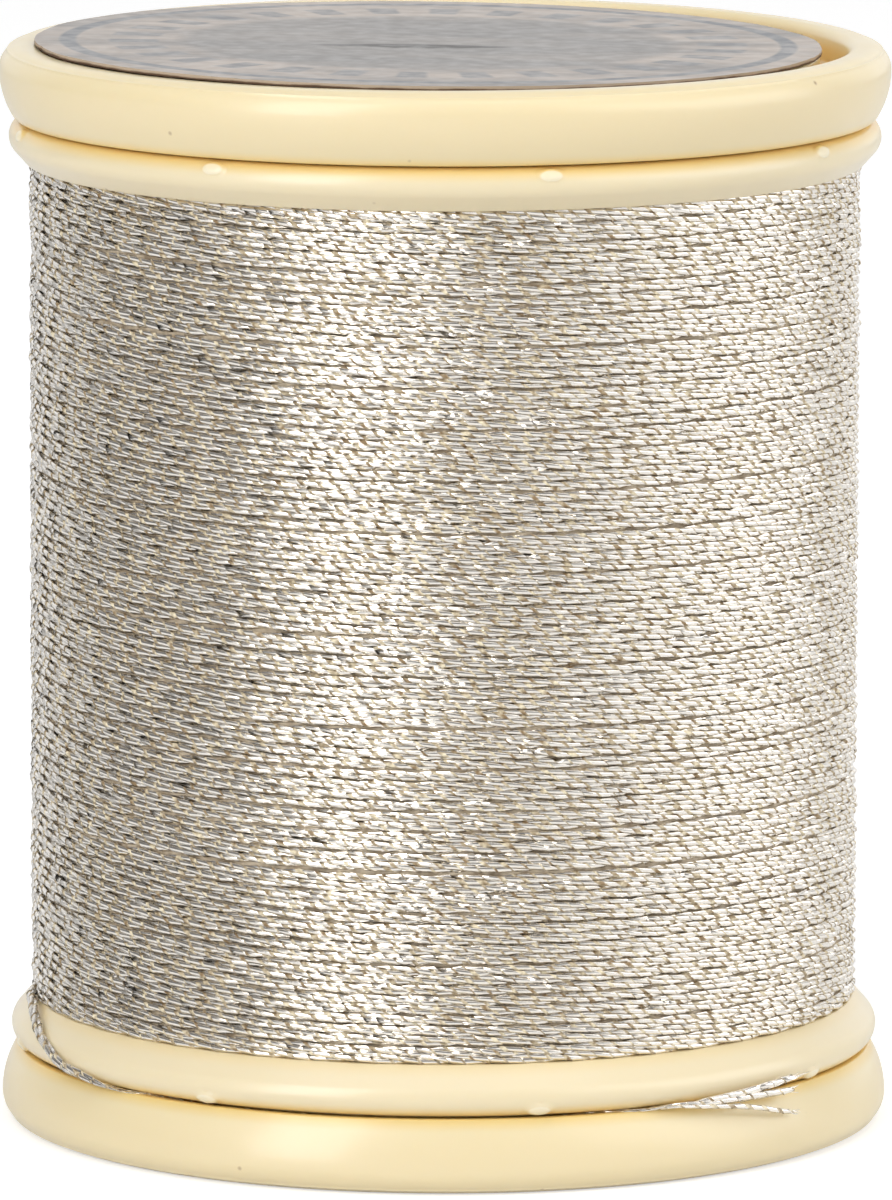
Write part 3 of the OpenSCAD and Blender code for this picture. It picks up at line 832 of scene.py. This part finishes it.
# %% Thread sizes
THREAD_D, PLIES = 0.34, 3
PLY_R, LAY_R, LAY_LENGTH = 0.094, 0.101, 5.2
WINDING_R, TURNS, END_TURN = 13.81, 84, 184
TOP_Z, LOW_Z = SPOOL_H - HIGH_RING_END - THREAD_D / 2, LOW_RING_END + THREAD_D / 2
SLIT_MID = CAP_H + SLIT / 2
print("rows", round((TOP_Z - LOW_Z) / (TURNS - 2), 3), "mm apart, thread", THREAD_D, "mm thick")

# %% Route of the tail
# Each row: direction in degrees, distance outside the ring's edge, height over the slit's middle, nip 0 to 1
TAIL_ROUTE = [
    (190, -0.55, 1.87, 0), (195, -0.36, 1.70, 0), (199, -0.18, 1.37, 0), (203, -0.01, 1.09, 0),
    (206, 0.12, 0.88, 0), (209.5, 0.19, 0.60, 0), (213, 0.17, 0.40, 0), (216, 0.09, 0.26, 0.3),
    (218.5, 0.01, 0.16, 0.6), (220.5, -0.13, 0.06, 0.9), (222.5, -0.27, 0.00, 1), (225, -0.50, 0.00, 1),
    (228, -0.72, -0.04, 0.9), (232, -0.92, -0.15, 0.8), (237, -0.96, -0.18, 0.8), (243, -0.97, -0.18, 0.8),
    (249, -0.97, -0.18, 0.8), (255, -0.97, -0.18, 0.8), (261, -0.97, -0.18, 0.8), (267, -0.97, -0.18, 0.8),
    (273, -0.97, -0.18, 0.8), (279, -0.97, -0.18, 0.8), (284, -0.95, -0.17, 0.8), (288, -0.88, -0.13, 0.8),
    (291, -0.72, -0.04, 0.9), (294, -0.48, 0.00, 1), (297, -0.28, 0.01, 1), (300, -0.08, 0.06, 0.8),
    (303, 0.08, 0.07, 0.4), (306, 0.18, 0.05, 0.1)]
PLY_ENDS = [
    [(303, 0.10, 0.14), (306, 0.20, 0.17), (310, 0.25, 0.24), (314, 0.27, 0.31), (318, 0.26, 0.38),
     (323, 0.25, 0.44)],
    [(303, 0.06, 0.05), (306, 0.18, 0.06), (310, 0.26, 0.08), (314, 0.30, 0.09), (317, 0.33, 0.07),
     (321, 0.33, 0.06)],
    [(303, 0.12, 0.03), (306, 0.28, -0.02), (310, 0.40, -0.12), (314, 0.46, -0.30), (317, 0.47, -0.50),
     (321, 0.45, -0.72)]]
print("route points:", len(TAIL_ROUTE), "and", sum(len(rows) for rows in PLY_ENDS), "for the parted plies")

# %% [markdown]
# ### The whole path
# Wound rows are never quite straight: each one wanders up and down and in and out, quickly and slowly. A
# Noise modifier would shake every point on its own. A smooth random value with a few knots to the turn moves
# whole rows, as uneven tension does. The first and last turns lie calm, because the rings guide them. The
# tail's points are joined to the last turn by a smooth curve.

# %% Curve helpers


def eased(share):
    """Starts and stops gently between 0 and 1."""
    return share * share * (3 - 2 * share)


def drift(turns, knots_per_turn, size):
    """A smooth random wander along the winding."""
    knots = random.standard_normal(int(turns[-1] * knots_per_turn) + 4) * size
    at = (turns - turns[0]) * knots_per_turn
    i = np.clip(at.astype(int), 0, len(knots) - 2)
    share = eased(at - i)
    return knots[i] * (1 - share) + knots[i + 1] * share


def through(points, samples):
    """A smooth curve through rows of points (Catmull-Rom)."""
    at = np.linspace(0, len(points) - 1, samples)
    i = np.clip(at.astype(int), 0, len(points) - 2)
    f = (at - i)[:, None]
    p0, p1 = points[np.maximum(i - 1, 0)], points[i]
    p2, p3 = points[i + 1], points[np.minimum(i + 2, len(points) - 1)]
    return 0.5 * (2 * p1 + (p2 - p0) * f + (2 * p0 - 5 * p1 + 4 * p2 - p3) * f ** 2
                  + (3 * p1 - 3 * p2 + p3 - p0) * f ** 3)


def on_spool(degrees, distance, height):
    """Points from a direction, a distance from the axis and a height."""
    bearing = np.radians(degrees)
    return np.stack((distance * np.cos(bearing), distance * np.sin(bearing), height), 1)


def by_slit_edge(rows):
    """Points from rows of direction, distance outside the ring's edge and height over the slit's middle."""
    return on_spool(rows[:, 0], RING_R + rows[:, 1], SLIT_MID + rows[:, 2])


print("halfway, an eased share is", eased(0.5))

# %% A route that knows its length
LOOK_AHEAD = 0.1


class Route:
    """A line of points that can be asked for a place at any length along it."""

    def __init__(self, points, nip=None):
        self.points = points
        self.nip = np.zeros(len(points)) if nip is None else nip
        self.s = np.concatenate(([0], np.cumsum(np.linalg.norm(np.diff(points, axis=0), axis=1))))

    def at(self, s):
        """Point, outward, sideways and nip at lengths s."""
        point, ahead, back = (
            np.stack([np.interp(s + shift, self.s, self.points[:, k]) for k in range(3)], -1)
            for shift in (0, LOOK_AHEAD, -LOOK_AHEAD))
        way = ahead - back
        way /= np.linalg.norm(way, axis=-1, keepdims=True)
        out = point * (1, 1, 0)
        out -= np.sum(out * way, -1, keepdims=True) * way
        out /= np.linalg.norm(out, axis=-1, keepdims=True)
        return point, out, np.cross(way, out), np.interp(s, self.s, self.nip)


print("a route takes its direction from", LOOK_AHEAD, "mm before and after")

# %% Winding and tail as one route
PATH_STEP, TAIL_SAMPLES = 0.05, 900
CALM_TURNS, CALM_OVER = 1, 0.7
# Knots to the turn and size of each wander
UP_AND_DOWN, IN_AND_OUT = ((9, 0.014), (2, 0.018)), ((11, 0.020), (2.3, 0.012))

turn = np.arange(0, TURNS, PATH_STEP / (2 * math.pi * WINDING_R))
calm = np.clip(np.minimum(turn - CALM_TURNS, TURNS - CALM_TURNS - turn) / CALM_OVER, 0, 1)
fall = np.clip((turn - 1) / (TURNS - 2), 0, 1)
wind_z = TOP_Z + (LOW_Z - TOP_Z) * fall + calm * sum(drift(turn, *wander) for wander in UP_AND_DOWN)
wind_r = WINDING_R + calm * sum(drift(turn, *wander) for wander in IN_AND_OUT)
tail_rows = np.array([(END_TURN, WINDING_R - RING_R, LOW_Z - SLIT_MID, 0)] + TAIL_ROUTE, float)
tail = through(tail_rows, TAIL_SAMPLES)[1:]
thread_route = Route(
    np.concatenate((on_spool(END_TURN - 360 * (TURNS - turn), wind_r, wind_z), by_slit_edge(tail))),
    np.concatenate((np.zeros(len(turn)), np.clip(tail[:, 3], 0, 1))))
winding_length, thread_length = thread_route.s[len(turn) - 1], thread_route.s[-1]
print("thread in the outer layer:", round(winding_length / 1000, 2), "m; tail:",
      round(thread_length - winding_length, 1), "mm")

# %% [markdown]
# ### Plies
# Each ply turns round the thread's axis once in every lay length, a third of a turn after the ply before it.
# The lay is never even, so its angle wanders. In the slit the thread is nipped: there it gets flatter and
# wider. The free tail is under tension, so its plies lie closer together.

# %% Plies
WANDERS, WANDER_LENGTH, WANDER_ANGLE = 4000, 3.0, 0.45
NIP_FLATTER, NIP_WIDER = 0.72, 0.35
TAUT, TAUT_OVER = 0.8, 5

lay_wander = random.standard_normal(WANDERS) * WANDER_ANGLE


def laid_ply(s, ply):
    """The middle of one ply at lengths s, with its outward, sideways, flatness and thickness."""
    point, out, side, nip = thread_route.at(s)
    uneven_lay = np.interp(s / WANDER_LENGTH, np.arange(WANDERS), lay_wander)
    lay = 2 * math.pi * (s / LAY_LENGTH + ply / PLIES) + uneven_lay
    flat, wide = 1 - NIP_FLATTER * nip, 1 + NIP_WIDER * nip
    lay_r = LAY_R * np.interp(s, (winding_length, winding_length + TAUT_OVER), (1, TAUT))
    middle = (point + (lay_r * wide * np.cos(lay))[..., None] * out
              + (lay_r * flat * np.sin(lay))[..., None] * side)
    return middle, out, side, flat, np.ones(len(s))


print("lay of the cord:", LAY_LENGTH, "mm for one turn of", PLIES, "plies")

# %% [markdown]
# ### Film
# The strip is wound round a ply step by step. For each step there is one face of film and two of the sunken
# joint beside it, which runs down to the core and up to the next wrap. Every wrap differs a little in tilt,
# size, angle, width and place, and that unevenness is what makes single bricks flash.

# %% Film
WRAP, FILM_W, WRAP_STEPS = 0.637, 0.495, 7
FILM_WIDEST, FILM_FOOT, JOINT_SUNK = 0.98, 0.90, 0.80
WRAPS, PLY_OFFSET, SLIP_WRAPS = 3001, 977, 3
uneven = {"tilt": random.normal(0, 0.09, WRAPS), "size": 1 + random.normal(0, 0.055, WRAPS),
          "angle": random.normal(0, 0.30, WRAPS), "width": 1 + random.normal(0, 0.09, WRAPS),
          "slip": random.normal(0, 0.11, WRAPS)}


def wrapped_ply(axis, first, last, ply):
    """Film and joints of one ply between two lengths: vertices, faces, which are joints, and a map."""
    n0, n1 = int(first / WRAP) * WRAP_STEPS, int(last / WRAP) * WRAP_STEPS
    t = np.arange(n0, n1 + WRAP_STEPS + 1) / WRAP_STEPS

    def varied(what, at):
        return np.interp((at + PLY_OFFSET * ply) % WRAPS, np.arange(WRAPS), uneven[what])

    tilt, size, width = varied("tilt", t), varied("size", t), varied("width", t)
    roll = 2 * math.pi * (t + ply / PLIES) + varied("angle", t)
    slip, ahead_slip = varied("slip", t / SLIP_WRAPS), varied("slip", (t + 1) / SLIP_WRAPS)

    def edge(along, swell):
        middle, out, side, flat, thick = axis(WRAP * t + slip + along)
        r = PLY_R * swell * thick
        return middle + (r * np.cos(roll))[:, None] * out + (r * flat * np.sin(roll))[:, None] * side

    film_w = np.minimum(FILM_W * width * axis(WRAP * t + slip)[4], WRAP * FILM_WIDEST)
    lead, trail = edge(0, size * (1 + tilt)), edge(film_w, size * (1 - tilt))
    foot, sunk = edge(film_w, FILM_FOOT), edge((film_w + WRAP + ahead_slip - slip) / 2, JOINT_SUNK)
    verts = np.stack((lead, trail, foot, sunk), 1).reshape(-1, 3)
    k = np.arange(n1 - n0)
    here, there, ahead = 4 * k, 4 * (k + 1), 4 * (k + WRAP_STEPS)
    bricks = np.stack((here, there, there + 1, here + 1), 1)
    down = np.stack((here + 2, there + 2, there + 3, here + 3), 1)
    up = np.stack((here + 3, there + 3, ahead + 4, ahead), 1)
    phase = (k % WRAP_STEPS) / WRAP_STEPS
    u = (k + n0) / WRAP_STEPS * WRAP - first
    step = 1 / WRAP_STEPS

    def map_of(start, end):
        return np.stack([np.stack((u + along, phase + aside), 1)
                         for along, aside in ((start, 0), (start, step), (end, step), (end, 0))], 1)

    half = (FILM_W + WRAP) / 2
    maps = np.concatenate((map_of(0, FILM_W), map_of(FILM_W, half), map_of(half, WRAP)))
    joints = np.repeat((0, 1, 1), len(k))
    return verts, np.concatenate((bricks, down, up)), joints, maps / (last - first + 2 * WRAP, 1)


print("wraps of film on each ply:", int(thread_length / WRAP))

# %% [markdown]
# ## Thread finish
# The film is metallised, so it is a metal with a slightly warm tint. Its roughness changes in fine flecks
# where the lacquer is thin. A glossy grey would be simpler, but only a metal takes on the bright and the dark
# side of the room.

# %% Film's material
FILM_PALE, FILM_DEEP = (0.94, 0.912, 0.862), (0.81, 0.757, 0.685)

film_paint, film, film_shader = new_paint("silver_film")
fleck = noise(film, node(film, "ShaderNodeTexCoord").outputs["Object"], 3500.0, 2.0)
feed(film, film_shader, Base_Color=blended(film, fleck, FILM_PALE, FILM_DEEP), Metallic=1.0,
     Roughness=levels(film, fleck, 0.3, 0.7, 0.15, 0.265))
print("film's material:", film_paint.name)

# %% [markdown]
# ### Yarns
# The core is a plain tan yarn, nearly cream where its fibres stand up. The layer below is the same cord, but
# it only shows as shade between the turns, so a darker yarn stands for it. Both are mottled in the same way,
# so the mottling is a node group, and each yarn gives it two tones and a fineness of its own.

# %% Yarns
CORE_DARK, CORE_PALE, CORE_FINE = (0.30, 0.20, 0.10), (0.92, 0.82, 0.60), 4200.0
UNDER_DARK, UNDER_PALE, UNDER_FINE = (0.36, 0.28, 0.19), (0.70, 0.60, 0.46), 2500.0

mottled, given, result = group_with(
    "mottled_yarn",
    [("Dark Tone", "NodeSocketColor", (*CORE_DARK, 1)), ("Pale Tone", "NodeSocketColor", (*CORE_PALE, 1)),
     ("Fineness", "NodeSocketFloat", CORE_FINE)],
    [("Color", "NodeSocketColor")])
spun = noise(mottled, node(mottled, "ShaderNodeTexCoord").outputs["Object"], given["Fineness"], 3.0)
spun = levels(mottled, spun, 0.35, 0.65, 0.0, 1.0)
feed(mottled, result, Color=blended(mottled, spun, given["Dark Tone"], given["Pale Tone"]))


def yarn(name, dark, pale, fineness):
    """Spun yarn: matt, mottled fibre by fibre."""
    paint, tree, shader = new_paint(name)
    surface = tree.nodes.new("ShaderNodeGroup")
    surface.node_tree = mottled
    feed(tree, surface, Dark_Tone=(*dark, 1), Pale_Tone=(*pale, 1), Fineness=fineness)
    feed(tree, shader, Base_Color=surface.outputs["Color"], Roughness=0.7)
    return paint


core_paint = yarn("tan_core_yarn", CORE_DARK, CORE_PALE, CORE_FINE)
under_paint = yarn("shaded_under_yarn", UNDER_DARK, UNDER_PALE, UNDER_FINE)
print("yarns:", core_paint.name, under_paint.name)

# %% [markdown]
# ## Outer layer
# All turns in one mesh would be heavy to edit and to map, so the winding is cut into eight stretches of the
# same path. A stretch's map has a row for each ply and each length of about 87 mm, so that a baked texture
# has the same fineness all along the thread.

# %% Outer layer
STRETCHES = 8
MAP_ROW, ROW_WIDTH, ROW_HEIGHT = 87, 1.02, 0.95


def thread_piece(name, axes, first, lasts, node_name):
    """One stretch of the thread: its plies, each with its axis and the length where it ends."""
    start, verts, faces, joints, uv = 0, [], [], [], []
    map_rows = max(1, int(round((lasts[0] - first) / MAP_ROW)))
    for ply, (axis, last) in enumerate(zip(axes, lasts)):
        v, f, j, m = wrapped_ply(axis, first, last, ply)
        verts.append(v)
        faces.append(f + start)
        joints.append(j)
        along = m[:, :, 0] * map_rows
        row = np.minimum(np.floor(along[:, :1]), map_rows - 1)
        across = (row + ROW_HEIGHT * m[:, :, 1] + ply * map_rows) / (len(axes) * map_rows)
        uv.append(np.stack(((along - row) / ROW_WIDTH, across), -1))
        start += len(v)
    piece = mesh_piece(name, np.concatenate(verts) * MM, np.concatenate(faces), [film_paint, core_paint],
                       np.concatenate(joints), uv=np.concatenate(uv))
    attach(piece, "barrel")
    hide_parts(node_name)
    return piece


def laid(ply):
    """The axis of one ply as a function of length alone."""
    return lambda s: laid_ply(s, ply)


laid_plies = [laid(ply) for ply in range(PLIES)]
total = 0
for k in range(STRETCHES):
    first, last = winding_length * k / STRETCHES, winding_length * (k + 1) / STRETCHES
    piece = thread_piece("thread_turns_%d" % (k + 1), laid_plies, first, [last] * PLIES, "outer_winding")
    total += len(piece.data.polygons)
print("faces in the outer layer:", total)

# %% [markdown]
# ## Tail
# The last stretch of the thread is free: it leaves the winding, crosses the lower ring and is nipped in the
# slit. Its three plies follow the lay until they come out again, and there each goes its own way. A cloth
# simulation could drop the end, but so short an end hardly sags. Each ply gets a short route of its own
# instead, and the change from the lay to that route is smooth.

# %% Tail
PLY_END_THICK = (1.35, 1.35, 1.0)
PARTING, LAY_MARGIN, END_MARGIN = 0.8, 0.12, 0.05
TIP_OVER, TIP_THIN, TIP_SHORT = 0.4, 0.65, 0.7
PLY_SAMPLES, LINE_STEP = 200, 0.4

parting_s = thread_length - PARTING


def leaving_ply(ply, rows, thick):
    """A ply of the tail: its axis, the length where it ends, and its own route."""
    alone = Route(by_slit_edge(through(np.array(rows, float), PLY_SAMPLES)))
    end = parting_s + alone.s[-1]

    def axis(s):
        gone = eased(np.clip((s - parting_s) / PARTING, 0, 1))
        in_lay = laid_ply(np.minimum(s, thread_length - LAY_MARGIN), ply)
        free = alone.at(np.clip(s - parting_s, END_MARGIN, alone.s[-1] - END_MARGIN))
        middle, out, side = (bound * (1 - gone)[:, None] + loose * gone[:, None]
                             for bound, loose in zip(in_lay[:3], free[:3]))
        out /= np.linalg.norm(out, axis=1, keepdims=True)
        side /= np.linalg.norm(side, axis=1, keepdims=True)
        tip = np.clip((end - s) / TIP_OVER, TIP_THIN, 1)
        return middle, out, side, in_lay[3] * (1 - gone) + gone, (1 + (thick - 1) * gone) * tip

    return axis, end, alone


leaving = [leaving_ply(ply, rows, thick) for ply, (rows, thick) in enumerate(zip(PLY_ENDS, PLY_END_THICK))]
tail_piece = thread_piece("thread_tail_strand", [axis for axis, _, _ in leaving], winding_length,
                          [end - TIP_SHORT * WRAP for _, end, _ in leaving], "thread_tail")
middle_ply = leaving[1][2]
tail_line = np.concatenate((thread_route.at(np.arange(winding_length, parting_s, LINE_STEP))[0],
                            middle_ply.at(np.arange(0.2, middle_ply.s[-1], LINE_STEP))[0]))
print("tail:", round(float(np.sum(np.linalg.norm(np.diff(tail_line, axis=0), axis=1))), 2), "mm")

# %% [markdown]
# ### Loose fibres
# The frayed film ends in a few fine fibres. A hair system could grow them, but fifteen thin tapered tubes are
# enough, and they are plain meshes. They start near the end of each ply and spread a little.

# %% Loose fibres
HAIR_R, HAIR_TAPER, HAIR_SAG, HAIR_SIDES, HAIR_STEPS = 0.018, 0.6, 0.02, 5, 14
HAIRS_PER_PLY, HAIR_START, HAIR_SPREAD = 5, 0.35, (0.5, 0.03, 0.09)
HAIR_REACH = (0.4, 0.03, 0.0)


def hair(start, end):
    """One loose fibre between two places given as direction, distance outside the ring and height."""
    t = np.linspace(0, 1, HAIR_STEPS)[:, None]
    rows = start * (1 - t) + end * t
    rows[:, 1] += HAIR_SAG * 4 * t[:, 0] * (1 - t[:, 0])
    route = Route(by_slit_edge(rows))
    point, out, side, _ = route.at(np.clip(route.s, 0.02, route.s[-1] - 0.02))
    a = np.arange(HAIR_SIDES) * 2 * math.pi / HAIR_SIDES
    thick = HAIR_R * (1 - HAIR_TAPER * t)
    verts = (point[:, None] + thick[:, None] * (np.cos(a)[None, :, None] * out[:, None]
                                                + np.sin(a)[None, :, None] * side[:, None])).reshape(-1, 3)
    return verts, looped_faces(HAIR_STEPS, HAIR_SIDES)


hairs = []
for rows in PLY_ENDS:
    near, tip = np.array(rows[-2], float), np.array(rows[-1], float)
    for _ in range(HAIRS_PER_PLY):
        spread = random.normal(0, 1, 3) * HAIR_SPREAD
        start = near * HAIR_START + tip * (1 - HAIR_START) + spread * 0.3
        hairs.append(hair(start, tip + HAIR_REACH + spread))
fibre_verts, fibre_faces = stacked(*hairs)
fibres = mesh_piece("loose_fibres", fibre_verts * MM, fibre_faces, [film_paint])
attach(fibres, "barrel")
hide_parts("thread_tail")
print("loose fibres:", len(hairs))

# %% [markdown]
# ## Under layer
# Between the outer turns the next layer shows only as dark dimples. A second winding would double the faces
# for something that is hardly seen, so it is one sleeve with shallow ridges.

# %% Under layer
UNDER_R, RIDGE, RIDGE_RATE, UNDER_GAP = 13.76, 0.02, 9, 0.01

z = np.linspace(LOW_RING_END + UNDER_GAP, SPOOL_H - HIGH_RING_END - UNDER_GAP, TURNS * 6 + 1)
ridge = UNDER_R + RIDGE * np.sin(z * RIDGE_RATE)
sleeve_in_r = BARREL_R + 0.02
sleeve = np.concatenate((np.stack((ridge, z), 1), [(sleeve_in_r, z[-1]), (sleeve_in_r, z[0])]))
under_verts, under_faces = revolved(sleeve, 180)
under = mesh_piece("thread_under_layer", under_verts * MM, under_faces, [under_paint])
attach(under, "barrel")
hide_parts("inner_winding")
print("under layer faces:", len(under.data.polygons))
